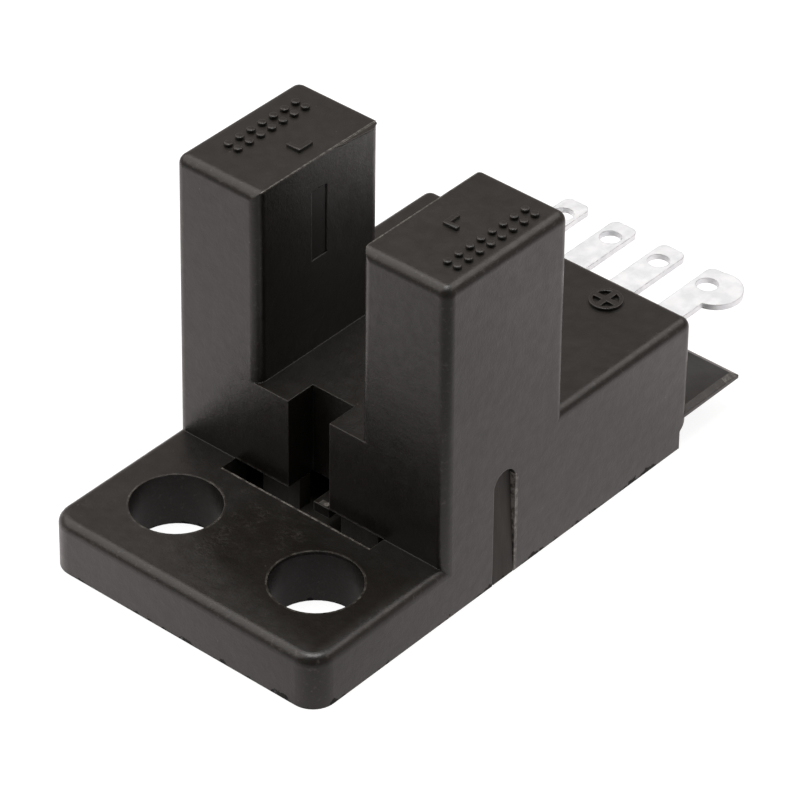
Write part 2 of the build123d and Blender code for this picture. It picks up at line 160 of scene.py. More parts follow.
def combined(tree, operation, levels):
    """One level out of many, by one operation after the other."""
    result = levels[0]
    for level in levels[1:]:
        result = add_node(tree, "ShaderNodeMath", {"operation": operation}, {0: result, 1: level}).outputs[0]
    return result


def all_of(tree, *levels):
    """How far all the levels hold at once."""
    return combined(tree, "MULTIPLY", levels)


def any_of(tree, *levels):
    """How far the strongest of the levels holds."""
    return combined(tree, "MAXIMUM", levels)


print("black of the case:", [round(c, 4) for c in colour("#15120e")])

# %% [markdown]
# ## Where the case is worn
#
# The case was screwed down once or twice and has been handled. The flange is scuffed between the screw
# holes, and a film of dust and grease dulls it there and to the right. The rims of the holes are painted
# pale in broken stretches: rubbing by the screw heads, and a painted highlight. The sharp lower edge,
# where the two halves of the tool met, is ragged. The latches and hooks were forced in and out, and the
# edges that they rubbed are crumbled. Pale, crumbled lines are painted along these edges and a few
# more, as painted highlights.
#
# All of this could be painted on an image, but a pattern that is worked out from the place on the
# object stays sharp at any size. So each kind of wear, and each painted highlight, is a level that is
# above zero only there.

# %% Boxes and broken lines


def inside(tree, coordinates, limits):
    """One where each coordinate lies between its two limits, in mm, and zero elsewhere."""
    checks = []
    for coordinate, (low_mm, high_mm) in zip(coordinates, limits):
        middle, reach = (low_mm + high_mm) / 2, (high_mm - low_mm) / 2
        checks.append(add_node(tree, "ShaderNodeMath", {"operation": "COMPARE"}, {
            0: coordinate, 1: mm(middle), 2: mm(reach)}).outputs[0])
    return all_of(tree, *checks)


def broken_line(tree, place, crumb_mm, least):
    """A crumbly pattern that breaks up the line of a rubbed edge, from the least strength up to one."""
    crumbs = add_node(tree, "ShaderNodeTexNoise", {}, {
        "Vector": place, "Scale": per_metre(crumb_mm), "Detail": 3.0, "Roughness": 0.7})
    return add_node(tree, "ShaderNodeMapRange", {}, {
        "Value": crumbs.outputs["Fac"], "From Min": 0.42, "From Max": 0.6, "To Min": least,
        "To Max": 1.0}).outputs["Result"]


flange_top = 2.35
print("flange top at", flange_top, "mm")

# %% Scuffs and film on the flange
scuff_middle = (-0.3, 1.2, flange_top)
scuff_layer = (flange_top - 0.02, flange_top + 0.02)
scuffed_within = 0.8
faint_beyond = 4.2
faintest = 0.12
scuff_patch = 1.3
scratch_width = 0.17
film_layer = (flange_top - 0.15, flange_top + 0.05)

# Each side on which the film fades out: a direction (x, y), and how far along it there is no film, and
# full film, in mm
film_sides = [
    ((1, 0), -2.5, -0.8),     # towards the left screw hole
    ((1, 0), 6.35, 5.9),      # towards the right edge
    ((0.25, 1), -2.4, -0.8),  # towards the front, further forward at the right
    ((0, 1), -3.2, -2.7),     # towards the front edge
    ((0, 1), 3.4, 1.2),       # towards the wall
]


def scuffed_flange(tree, place, height):
    """Patches of fine scratches, strongest between the screw holes and the hook pocket."""
    away = add_node(tree, "ShaderNodeVectorMath", {"operation": "DISTANCE"}, {
        0: place, 1: tuple(mm(length) for length in scuff_middle)})
    near = add_node(tree, "ShaderNodeMapRange", {"interpolation_type": "SMOOTHSTEP"}, {
        "Value": away.outputs["Value"], "From Min": mm(scuffed_within), "From Max": mm(faint_beyond),
        "To Min": 1.0, "To Max": faintest})
    cloud = add_node(tree, "ShaderNodeTexNoise", {}, {
        "Vector": place, "Scale": per_metre(scuff_patch), "Detail": 3.0, "Roughness": 0.6})
    patches = add_node(tree, "ShaderNodeMapRange", {}, {
        "Value": cloud.outputs["Fac"], "From Min": 0.44, "From Max": 0.66, "To Min": 0.0, "To Max": 1.0})
    scratch = add_node(tree, "ShaderNodeTexNoise", {}, {
        "Vector": place, "Scale": per_metre(scratch_width), "Detail": 3.0, "Roughness": 0.7,
        "Distortion": 0.2})
    scratches = add_node(tree, "ShaderNodeMapRange", {}, {
        "Value": scratch.outputs["Fac"], "From Min": 0.45, "From Max": 0.66, "To Min": 0.0, "To Max": 1.0})
    return all_of(tree, near.outputs["Result"], patches.outputs["Result"],
                  inside(tree, (height,), (scuff_layer,)), scratches.outputs["Result"])


def filmed_flange(tree, place, height):
    """Where the film dulls the flange: between the screw holes and to their right."""
    levels = [inside(tree, (height,), (film_layer,))]
    for (x, y), none_mm, full_mm in film_sides:
        along = add_node(tree, "ShaderNodeVectorMath", {"operation": "DOT_PRODUCT"}, {
            0: place, 1: (x, y, 0)})
        levels.append(add_node(tree, "ShaderNodeMapRange", {"interpolation_type": "SMOOTHSTEP"}, {
            "Value": along.outputs["Value"], "From Min": mm(none_mm), "From Max": mm(full_mm),
            "To Min": 0.0, "To Max": 1.0}).outputs["Result"])
    return all_of(tree, *levels)


print("scuffs round", scuff_middle, "mm, film with", len(film_sides), "fading sides")

# %% Torn foot, pale hole rims and chipped edges
tear_width = 0.9
tear_height = 0.3
hole_offset = 3.5
# A pale, broken ring painted round each screw hole's rim: a painted highlight, and rubbing by the screw heads
rim_ring = (1.75, 1.88)
rim_layer = (flange_top - 0.05, flange_top + 0.05)
rim_pale_strength = 0.6
chip_width = 0.22
chip_strength = 0.22

# Coarse and fine breaks in the line of a rim: the size of a crumb in mm, and the least strength left
rim_breaks = ((0.6, 0.15), (0.2, 0.2))


def torn_foot(tree, place, height, facing):
    """One where patches of the lower edge are torn, and zero above it and on the underside."""
    tears = add_node(tree, "ShaderNodeTexNoise", {}, {
        "Vector": place, "Scale": per_metre(tear_width), "Detail": 4.0, "Roughness": 0.65})
    reach = add_node(tree, "ShaderNodeMapRange", {}, {
        "Value": tears.outputs["Fac"], "From Min": 0.5, "From Max": 0.68, "To Min": 0.0,
        "To Max": mm(tear_height)})
    low = add_node(tree, "ShaderNodeMath", {"operation": "LESS_THAN"}, {
        0: height, 1: reach.outputs["Result"]})
    upright = add_node(tree, "ShaderNodeSeparateXYZ", {}, {"Vector": facing})
    beside = add_node(tree, "ShaderNodeMath", {"operation": "GREATER_THAN"}, {
        0: upright.outputs["Z"], 1: -0.5})
    return all_of(tree, low.outputs[0], beside.outputs[0])


def highlit_and_rubbed_hole_rims(tree, place, outward, along, height):
    """Stretches of the rim of each screw hole, painted pale: rubbed by the screw heads, and a painted
    highlight.
    """
    off_axis = add_node(tree, "ShaderNodeMath", {"operation": "SUBTRACT"}, {0: outward, 1: mm(hole_offset)})
    flat = add_node(tree, "ShaderNodeCombineXYZ", {}, {"X": off_axis.outputs[0], "Y": along})
    away = add_node(tree, "ShaderNodeVectorMath", {"operation": "LENGTH"}, {0: flat.outputs["Vector"]})
    breaks = [broken_line(tree, place, crumb_mm, least) for crumb_mm, least in rim_breaks]
    return all_of(tree, inside(tree, (away.outputs["Value"], height), (rim_ring, rim_layer)),
                  *breaks, rim_pale_strength)


def chipped_edges(tree, place, facing):
    """Small chips on the rolled edges, which are the surfaces that face along no axis."""
    folded = add_node(tree, "ShaderNodeVectorMath", {"operation": "ABSOLUTE"}, {0: facing})
    parts = add_node(tree, "ShaderNodeSeparateXYZ", {}, {"Vector": folded.outputs["Vector"]})
    squarest = any_of(tree, parts.outputs["X"], parts.outputs["Y"], parts.outputs["Z"])
    rolled = add_node(tree, "ShaderNodeMapRange", {}, {
        "Value": squarest, "From Min": 0.99, "From Max": 0.94, "To Min": 0.0, "To Max": 1.0})
    chips = add_node(tree, "ShaderNodeTexNoise", {}, {
        "Vector": place, "Scale": per_metre(chip_width), "Detail": 3.0, "Roughness": 0.65})
    chipped = add_node(tree, "ShaderNodeMapRange", {}, {
        "Value": chips.outputs["Fac"], "From Min": 0.58, "From Max": 0.7, "To Min": 0.0,
        "To Max": chip_strength})
    return all_of(tree, rolled.outputs["Result"], chipped.outputs["Result"])


print("tears up to", tear_height, "mm above the foot, chips", chip_width, "mm wide")

# %% Painted highlight lines on edges
# Edges painted with a pale line that stands for their highlight, as a box on one or both sides of the
# middle, in mm, and how strongly it is painted there: |x|, y and z from and to, strength
highlight_line_places = [
    ((-1, 3.73), (2.72, 2.83), (2.27, 2.40), 0.75),     # front edge of the hook pocket
    ((1.05, 3.73), (3.48, 3.62), (2.33, 2.44), 0.3),    # foot of the wall over the pocket
    ((6.4, 6.8), (7.55, 7.66), (-1, 4.6), 1.0),         # the edge that each latch rubbed
    ((6.6, 6.8), (7.66, 7.76), (-1, 4.4), 0.5),         # crumbs beside that edge
    ((6.3, 6.8), (20.6, 24.3), (1.49, 1.64), 0.35),     # slanting side of the shelf
    ((2.44, 2.56), (3.6, 10.4), (14.94, 15.06), 0.4),   # inner top edge of each arm
]
# A pale spot painted on the ledge in the channel as a painted highlight: x, y and z from and to, strength
ledge_highlight = ((0.45, 0.85), (3.62, 3.85), (2.33, 2.4), 0.8)
highlight_crumb = 0.25


def painted_highlight_lines(tree, place, outward, axes):
    """Painted highlights: pale broken lines along the listed edges, and a pale spot on the ledge in the
    channel.
    """
    along, height = axes.outputs["Y"], axes.outputs["Z"]
    edges = [all_of(tree, inside(tree, (outward, along, height), limits), strength)
             for *limits, strength in highlight_line_places]
    *spot_limits, spot_strength = ledge_highlight
    ledge_spot = all_of(tree, inside(tree, (axes.outputs["X"], along, height), spot_limits), spot_strength)
    return all_of(tree, any_of(tree, *edges, ledge_spot), broken_line(tree, place, highlight_crumb, 0.2))


# How many kinds of edge get a painted highlight line, besides the painted spot on the ledge
print("whitened:", len(highlight_line_places), "kinds of edge and one scar")

# %% [markdown]
# ## The case: glass-filled polyester
#
# The case is moulded in one shot from black polyester with glass fibre, against a spark-eroded tool.
# That gives the eye four things. The black is warm and never deep, because the fibre greys it. The
# surface is an even fine grain, so highlights are soft. It waves a little where the wall behind it
# changes in thickness. And every sharp edge has a tiny radius that catches a light line.
#
# The grain of such a tool is about 0.05 mm, too fine to show from here, so it is drawn at 0.1 mm. The
# edge lines come from the Bevel node, which rounds the shading of an edge and leaves the mesh alone,
# and from a pale colour painted along the open edges, which is a painted highlight and also stands for
# rubbing.
#
# Grain, blotches and waves could each be an image, but an image on such a shape shows its seams. Noise
# at three sizes, worked out from the place in the object, has none.
#
# The cover is nylon of the same colour family, greyer and duller, with a grain that is dragged upright
# as it slid out of its tool.

# %% Case and cover plastic
wave_width, wave_depth = 2.6, 0.03
blotch_width, blotch_depth = 0.45, 0.011
grain_width, grain_depth = 0.1, 0.0055
scuff_strength, scuff_depth = 0.13, 0.01
# How strongly the open edges are painted pale, as a painted highlight that also stands for rubbing
edge_radius = 0.06
edge_highlight_strength = 0.4
open_air_reach = 0.25
speck_spacing = 0.8
speck_strength = 0.3
torn_black = "#080706"
# Grey of the painted highlight lines along the edges
highlight_line_grey = "#8f8b85"
gloss_drift = 0.05
torn_mattness = 0.5
full_sheen = 0.5
filmed_sheen = 0.17


def highlit_and_rubbed_edges(tree, rounded, facing):
    """How far an edge stands out, where it is painted pale: a painted highlight, and rubbing."""
    agreement = add_node(tree, "ShaderNodeVectorMath", {"operation": "DOT_PRODUCT"}, {
        0: rounded, 1: facing})
    edge = add_node(tree, "ShaderNodeMapRange", {}, {
        "Value": agreement.outputs["Value"], "From Min": 0.995, "From Max": 0.85, "To Min": 0.0,
        "To Max": edge_highlight_strength})
    open_air = add_node(tree, "ShaderNodeAmbientOcclusion", {"samples": 4, "only_local": True}, {
        "Distance": mm(open_air_reach)})
    proud = add_node(tree, "ShaderNodeMapRange", {}, {
        "Value": open_air.outputs["AO"], "From Min": 0.75, "From Max": 0.95, "To Min": 0.0, "To Max": 1.0})
    return all_of(tree, edge.outputs["Result"], proud.outputs["Result"])


def dust_specks(tree, place):
    """A few pale specks of dust and bare fibre ends."""
    cells = add_node(tree, "ShaderNodeTexVoronoi", {"feature": "F1"}, {
        "Vector": place, "Scale": per_metre(speck_spacing)})
    return add_node(tree, "ShaderNodeMapRange", {}, {
        "Value": cells.outputs["Distance"], "From Min": 0.05, "From Max": 0.03, "To Min": 0.0,
        "To Max": speck_strength}).outputs["Result"]


def moulded_plastic(name, dark, light, pale_highlight_and_wear, roughness, ior, streaks):
    """Moulded, spark-eroded plastic. Streaks above zero drag the grain along the upright direction."""
    material, tree = empty_material(name)
    place = add_node(tree, "ShaderNodeTexCoord", {}, {}).outputs["Object"]
    axes = add_node(tree, "ShaderNodeSeparateXYZ", {}, {"Vector": place})
    along, height = axes.outputs["Y"], axes.outputs["Z"]
    outward = add_node(tree, "ShaderNodeMath", {"operation": "ABSOLUTE"}, {0: axes.outputs["X"]}).outputs[0]
    facing = add_node(tree, "ShaderNodeNewGeometry", {}, {}).outputs["Normal"]
    rounded = add_node(tree, "ShaderNodeBevel", {"samples": 6}, {"Radius": mm(edge_radius)}).outputs["Normal"]
    drag = add_node(tree, "ShaderNodeMapping", {}, {
        "Vector": place, "Scale": (1, 1, 1 / (1 + streaks))}).outputs["Vector"]
    grain = add_node(tree, "ShaderNodeTexNoise", {}, {
        "Vector": drag, "Scale": per_metre(grain_width), "Detail": 2.0, "Roughness": 0.6}).outputs["Fac"]
    blotch = add_node(tree, "ShaderNodeTexNoise", {}, {
        "Vector": drag, "Scale": per_metre(blotch_width), "Detail": 3.0, "Roughness": 0.55}).outputs["Fac"]
    wave = add_node(tree, "ShaderNodeTexNoise", {}, {
        "Vector": place, "Scale": per_metre(wave_width), "Detail": 2.0, "Roughness": 0.5}).outputs["Fac"]

    # Colour: two blacks that drift into each other, and over them the pale places, the dark torn foot and
    # the pale lines. The pale places are painted highlights on the open edges and hole rims, and dust,
    # chips and scuffs. The pale lines are painted highlights along a few edges.
    scuffed = scuffed_flange(tree, place, height)
    torn = torn_foot(tree, place, height, facing)
    pale = any_of(tree, highlit_and_rubbed_edges(tree, rounded, facing), dust_specks(tree, place),
                  chipped_edges(tree, place, facing), highlit_and_rubbed_hole_rims(tree, place, outward, along, height),
                  all_of(tree, scuffed, scuff_strength))
    tone = add_node(tree, "ShaderNodeMapRange", {}, {
        "Value": wave, "From Min": 0.35, "From Max": 0.65, "To Min": 0.0, "To Max": 1.0})
    shade = add_node(tree, "ShaderNodeMix", {"data_type": "RGBA"}, {
        "Factor": tone.outputs["Result"], 6: colour(dark), 7: colour(light)})
    for level, covering in ((pale, pale_highlight_and_wear), (torn, torn_black),
                            (painted_highlight_lines(tree, place, outward, axes), highlight_line_grey)):
        shade = add_node(tree, "ShaderNodeMix", {"data_type": "RGBA"}, {
            "Factor": level, 6: shade.outputs[2], 7: colour(covering)})

    # Gloss: a little uneven, matt where the foot is torn, and weak under the film
    gloss = add_node(tree, "ShaderNodeMapRange", {}, {
        "Value": blotch, "From Min": 0.3, "From Max": 0.7, "To Min": roughness - gloss_drift,
        "To Max": roughness + gloss_drift})
    matted = add_node(tree, "ShaderNodeMath", {"operation": "MULTIPLY_ADD", "use_clamp": True}, {
        0: torn, 1: torn_mattness, 2: gloss.outputs["Result"]})
    sheen = add_node(tree, "ShaderNodeMapRange", {}, {
        "Value": filmed_flange(tree, place, height), "From Min": 0.0, "From Max": 1.0,
        "To Min": full_sheen, "To Max": filmed_sheen})

    # Relief: from the widest waves to the finest grain, and the scuffs on top
    normal = rounded
    for relief, depth_mm in ((wave, wave_depth), (blotch, blotch_depth), (grain, grain_depth),
                             (scuffed, scuff_depth)):
        normal = add_node(tree, "ShaderNodeBump", {}, {
            "Height": relief, "Strength": 1.0, "Distance": mm(depth_mm), "Normal": normal}).outputs["Normal"]
    surface = add_node(tree, "ShaderNodeBsdfPrincipled", {}, {
        "Base Color": shade.outputs[2], "Roughness": matted.outputs[0], "IOR": ior,
        "Specular IOR Level": sheen.outputs["Result"], "Normal": normal})
    add_node(tree, "ShaderNodeOutputMaterial", {}, {"Surface": surface.outputs["BSDF"]})
    return material


# The fourth colour is the pale that is painted on edges and rims as a painted highlight, and on specks, chips
# and scuffs
case_plastic = moulded_plastic("glass_filled_polyester", "#15120e", "#1a1713", "#6a6761", 0.35, 1.58, 0)
cover_plastic = moulded_plastic("nylon_of_the_cover", "#24211c", "#302c26", "#6a6761", 0.6, 1.45, 6)
nodes["case"].material_slots[0].material = case_plastic
nodes["base_cover"].material_slots[0].material = cover_plastic
print("case and cover:", case_plastic.name, cover_plastic.name)

# %% [markdown]
# ## The terminals: stamped brass with matte tin
#
# The terminals are stamped from sheet and plated with tin before they go into the case. Matte tin is a
# bright, nearly white metal with a soft sheen. Rolling leaves faint lines along the strip, and handling
# leaves duller stains. Along the stamped edges a grey is painted: painted shade of the edges, and thin
# tin where the grey alloy under it shows.
#
# A metal's colour is its reflection, so it is metallic all over, and its roughness carries the finish.
# The lines could be cut into the mesh, but they are far finer than its faces. Noise that is stretched
# along the strip draws them, and a Bevel node finds the edges without touching the mesh.

# %% Terminal metal
# Along the strip the pattern changes this much more slowly, which draws it out into lines
line_squeeze = 0.06
line_depth = 0.002
stain_width = 0.7
sheen_drift = 0.06
sheet_edge_radius = 0.03
# Grey painted along the stamped edges, as painted shade and as thin tin
edge_grey_reach = 0.07
edge_grey_crumb = 0.5
edge_grey_strength = 0.85
painted_edge_shade_grey = "#a9aaa9"


def plated_metal(name, bright, dull, roughness, line_mm):
    """Plated sheet metal, with rolling lines that run along Y."""
    material, tree = empty_material(name)
    place = add_node(tree, "ShaderNodeTexCoord", {}, {}).outputs["Object"]
    along = add_node(tree, "ShaderNodeMapping", {}, {"Vector": place, "Scale": (1, line_squeeze, 1)})
    lines = add_node(tree, "ShaderNodeTexNoise", {}, {
        "Vector": along.outputs["Vector"], "Scale": per_metre(line_mm), "Detail": 3.0})
    stain = add_node(tree, "ShaderNodeTexNoise", {}, {
        "Vector": place, "Scale": per_metre(stain_width), "Detail": 3.0})
    tone = add_node(tree, "ShaderNodeMapRange", {}, {
        "Value": stain.outputs["Fac"], "From Min": 0.4, "From Max": 0.62, "To Min": 0.0, "To Max": 1.0})
    metal = add_node(tree, "ShaderNodeMix", {"data_type": "RGBA"}, {
        "Factor": tone.outputs["Result"], 6: colour(bright), 7: colour(dull)})

    # Grey painted along the stamped edges: painted shade, and thin tin over the grey alloy
    drawn = add_node(tree, "ShaderNodeBevel", {"samples": 6}, {"Radius": mm(edge_grey_reach)})
    face = add_node(tree, "ShaderNodeNewGeometry", {}, {})
    agreement = add_node(tree, "ShaderNodeVectorMath", {"operation": "DOT_PRODUCT"}, {
        0: drawn.outputs["Normal"], 1: face.outputs["Normal"]})
    edge = add_node(tree, "ShaderNodeMapRange", {}, {
        "Value": agreement.outputs["Value"], "From Min": 0.995, "From Max": 0.85, "To Min": 0.0,
        "To Max": edge_grey_strength})
    greyed_edge = all_of(tree, edge.outputs["Result"], broken_line(tree, place, edge_grey_crumb, 0.25))
    edged = add_node(tree, "ShaderNodeMix", {"data_type": "RGBA"}, {
        "Factor": greyed_edge, 6: metal.outputs[2], 7: colour(painted_edge_shade_grey)})

    sheen = add_node(tree, "ShaderNodeMapRange", {}, {
        "Value": lines.outputs["Fac"], "From Min": 0.3, "From Max": 0.7,
        "To Min": roughness - sheen_drift, "To Max": roughness + sheen_drift})
    rounded = add_node(tree, "ShaderNodeBevel", {"samples": 4}, {"Radius": mm(sheet_edge_radius)})
    rolled = add_node(tree, "ShaderNodeBump", {}, {
        "Height": lines.outputs["Fac"], "Strength": 1.0, "Distance": mm(line_depth),
        "Normal": rounded.outputs["Normal"]})
    surface = add_node(tree, "ShaderNodeBsdfPrincipled", {}, {
        "Base Color": edged.outputs[2], "Metallic": 1.0, "Roughness": sheen.outputs["Result"],
        "Normal": rolled.outputs["Normal"]})
    add_node(tree, "ShaderNodeOutputMaterial", {}, {"Surface": surface.outputs["BSDF"]})
    return material


terminal_metal = plated_metal("matte_tin_on_brass", "#fafdff", "#eef2f5", 0.62, 0.06)
lead_metal = plated_metal("tinned_copper_lead", "#dcdad4", "#c4c2bb", 0.35, 0.05)
terminal_nodes = [name for name in nodes if name.startswith("terminal_") and name[-1].isdigit()]
lead_nodes = [name for name in nodes if name.endswith("_lead")]
for name in terminal_nodes:
    nodes[name].material_slots[0].material = terminal_metal
for name in lead_nodes:
    nodes[name].material_slots[0].material = lead_metal
print("plated metal on", len(terminal_nodes), "terminals and", len(lead_nodes), "leads")

# %% [markdown]
# ## The board: glass and epoxy under a green mask
#
# None of the inside shows from outside, apart from a glimpse through the light slits, but a reusable
# part is also opened and cut. The board is glass and epoxy under a green solder mask: the mask is
# glossy and lets the weave of the glass show as a faint grid, and the cut edges are bare, pale and
# straw-coloured.
#
# Two crossed waves draw the weave. Mask and cut edge could be two materials, but the face's direction
# tells them apart just as well, and the board stays one piece with one finish. The threads of such
# cloth are about 0.4 mm apart, too fine to show, so the grid is drawn six times as coarse.

# %% Board laminate
mask_over_thread = "#24643a"
weave_depth = 0.01


def masked_laminate(name, mask, cut_edge, roughness, thread_mm):
    """Green solder mask over woven glass. The cut edges are bare laminate."""
    material, tree = empty_material(name)
    place = add_node(tree, "ShaderNodeTexCoord", {}, {}).outputs["Object"]
    # A wave texture turns through 20 radians in a unit of its own, so a 20th draws one radian per thread
    threads = [add_node(tree, "ShaderNodeTexWave", {"wave_type": "BANDS", "bands_direction": direction}, {
        "Vector": place, "Scale": per_metre(thread_mm) / 20, "Distortion": 0.4}).outputs["Fac"]
        for direction in ("X", "Y")]
    weave = all_of(tree, *threads)
    face = add_node(tree, "ShaderNodeNewGeometry", {}, {})
    upright = add_node(tree, "ShaderNodeSeparateXYZ", {}, {"Vector": face.outputs["Normal"]})
    level = add_node(tree, "ShaderNodeMath", {"operation": "ABSOLUTE"}, {0: upright.outputs["Z"]})
    cut = add_node(tree, "ShaderNodeMath", {"operation": "LESS_THAN"}, {0: level.outputs[0], 1: 0.5})
    tint = add_node(tree, "ShaderNodeMix", {"data_type": "RGBA"}, {
        "Factor": weave, 6: colour(mask), 7: colour(mask_over_thread)})
    shade = add_node(tree, "ShaderNodeMix", {"data_type": "RGBA"}, {
        "Factor": cut.outputs[0], 6: tint.outputs[2], 7: colour(cut_edge)})
    raised = add_node(tree, "ShaderNodeBump", {}, {
        "Height": weave, "Strength": 0.6, "Distance": mm(weave_depth)})
    surface = add_node(tree, "ShaderNodeBsdfPrincipled", {}, {
        "Base Color": shade.outputs[2], "Roughness": roughness, "IOR": 1.55,
        "Normal": raised.outputs["Normal"]})
    add_node(tree, "ShaderNodeOutputMaterial", {}, {"Surface": surface.outputs["BSDF"]})
    return material


nodes["circuit_board"].material_slots[0].material = masked_laminate(
    "glass_epoxy_laminate_green_mask", "#1b4f2c", "#b8a566", 0.3, 0.4)
print("board:", nodes["circuit_board"].material_slots[0].material.name)

# %% [markdown]
# ## Solder
#
# The joints are tin and silver, melted round the leads and left to set in air. Such solder is bright,
# with a frozen ripple and duller patches where it crystallised. The ripple could be sculpted, but the
# joints are tiny, so one pattern moves colour, gloss and relief together.

# %% Solder
ripple_depth = 0.02


def set_solder(name, bright, dull, ripple_mm):
    """Solder that has set in air: a bright metal with ripples and dull patches."""
    material, tree = empty_material(name)
    place = add_node(tree, "ShaderNodeTexCoord", {}, {}).outputs["Object"]
    ripple = add_node(tree, "ShaderNodeTexNoise", {}, {
        "Vector": place, "Scale": per_metre(ripple_mm), "Detail": 3.0})
    shade = add_node(tree, "ShaderNodeMix", {"data_type": "RGBA"}, {
        "Factor": ripple.outputs["Fac"], 6: colour(bright), 7: colour(dull)})
    gloss = add_node(tree, "ShaderNodeMapRange", {}, {
        "Value": ripple.outputs["Fac"], "From Min": 0.3, "From Max": 0.7, "To Min": 0.22, "To Max": 0.42})
    frozen = add_node(tree, "ShaderNodeBump", {}, {
        "Height": ripple.outputs["Fac"], "Strength": 1.0, "Distance": mm(ripple_depth)})
    surface = add_node(tree, "ShaderNodeBsdfPrincipled", {}, {
        "Base Color": shade.outputs[2], "Metallic": 1.0, "Roughness": gloss.outputs["Result"],
        "Normal": frozen.outputs["Normal"]})
    add_node(tree, "ShaderNodeOutputMaterial", {}, {"Surface": surface.outputs["BSDF"]})
    return material


solder = set_solder("tin_silver_solder", "#dcdcd8", "#b4b3ad", 0.18)
for name in ("lead_solder", "terminal_solder"):
    nodes[name].material_slots[0].material = solder
print("solder on the leads and the terminals")

# %% [markdown]
# ## The small parts on the board
#
# A chip is a block of black epoxy with tinned legs, and a resistor or capacitor is a ceramic brick with
# tinned ends. Body and metal are one mesh here, so the material tells them apart by place: whatever
# lies outside the block of the body is metal. Two materials on two sets of faces would look the same,
# but this way one function serves all seven parts.

# %% Block with metal ends
resin_dust = "#3a3935"
tinned_end = "#d8d7d2"
tinned_roughness = 0.34
metal_starts = 0.005
resin_grain_width, resin_grain_depth = 0.12, 0.006


def block_with_metal(name, middle, half_size, body, body_roughness):
    """A block of resin or ceramic. All that lies outside it is tinned metal."""
    material, tree = empty_material(name)
    place = add_node(tree, "ShaderNodeTexCoord", {}, {}).outputs["Object"]
    shifted = add_node(tree, "ShaderNodeVectorMath", {"operation": "SUBTRACT"}, {
        0: place, 1: tuple(middle)})
    folded = add_node(tree, "ShaderNodeVectorMath", {"operation": "ABSOLUTE"}, {
        0: shifted.outputs["Vector"]})
    past = add_node(tree, "ShaderNodeVectorMath", {"operation": "SUBTRACT"}, {
        0: folded.outputs["Vector"], 1: tuple(half_size)})
    apart = add_node(tree, "ShaderNodeSeparateXYZ", {}, {"Vector": past.outputs["Vector"]})
    furthest = any_of(tree, apart.outputs["X"], apart.outputs["Y"], apart.outputs["Z"])
    metal = add_node(tree, "ShaderNodeMath", {"operation": "GREATER_THAN"}, {
        0: furthest, 1: mm(metal_starts)})
    grain = add_node(tree, "ShaderNodeTexNoise", {}, {
        "Vector": place, "Scale": per_metre(resin_grain_width), "Detail": 3.0})
    matt = add_node(tree, "ShaderNodeMix", {"data_type": "RGBA"}, {
        "Factor": grain.outputs["Fac"], 6: colour(body), 7: colour(resin_dust)})
    shade = add_node(tree, "ShaderNodeMix", {"data_type": "RGBA"}, {
        "Factor": metal.outputs[0], 6: matt.outputs[2], 7: colour(tinned_end)})
    gloss = add_node(tree, "ShaderNodeMix", {"data_type": "FLOAT"}, {
        "Factor": metal.outputs[0], 2: body_roughness, 3: tinned_roughness})
    rough = add_node(tree, "ShaderNodeBump", {}, {
        "Height": grain.outputs["Fac"], "Strength": 1.0, "Distance": mm(resin_grain_depth)})
    surface = add_node(tree, "ShaderNodeBsdfPrincipled", {}, {
        "Base Color": shade.outputs[2], "Metallic": metal.outputs[0],
        "Roughness": gloss.outputs[0], "Normal": rough.outputs["Normal"]})
    add_node(tree, "ShaderNodeOutputMaterial", {}, {"Surface": surface.outputs["BSDF"]})
    return material


# How far legs or ends stick out along X and Y, in mm, then the finish, the body's colour and roughness
small_parts = {
    "amplifier_chip": ((0.95, 0), "black_epoxy_chip", "#1b1b1b", 0.55),
    "output_transistor": ((0.5, 0), "black_epoxy_transistor", "#1b1b1b", 0.55),
    "protection_diode": ((0, 0.5), "black_epoxy_diode", "#1e1e1e", 0.5),
    "emitter_resistor": ((0.4, 0), "glazed_alumina_emitter_resistor", "#17181a", 0.4),
    "output_resistor": ((0.4, 0), "glazed_alumina_output_resistor", "#17181a", 0.4),
    "feedback_resistor": ((0.4, 0), "glazed_alumina_feedback_resistor", "#17181a", 0.4),
    "supply_capacitor": ((0.4, 0), "barium_titanate_ceramic", "#8a6f4c", 0.5),
}
for name, ((across, along), finish, body, body_roughness) in small_parts.items():
    lowest, highest = (Vector(corner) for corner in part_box(name))
    half_size = (highest - lowest) / 2 - Vector((mm(across), mm(along), 0))
    nodes[name].material_slots[0].material = block_with_metal(
        finish, (lowest + highest) / 2, half_size, body, body_roughness)
print("small parts:", ", ".join(small_parts))

# %% [markdown]
# ## Emitter and receiver
#
# The emitter gives infrared through clear epoxy with a faint blue-violet tint. The receiver is moulded
# in a resin that stops visible light, so it looks black with a plum cast, and its polished lens shines.
# The pane in each light slit is of that kind too, and nearly as dark as the wall round it.
#
# The clear resin lets light through, and the dark ones could do so too, with a tint that swallows it.
# That costs many light paths and looks the same, so they are plain dark and glossy.

# %% Package resins
drift_width, drift_depth = 1.2, 0.02


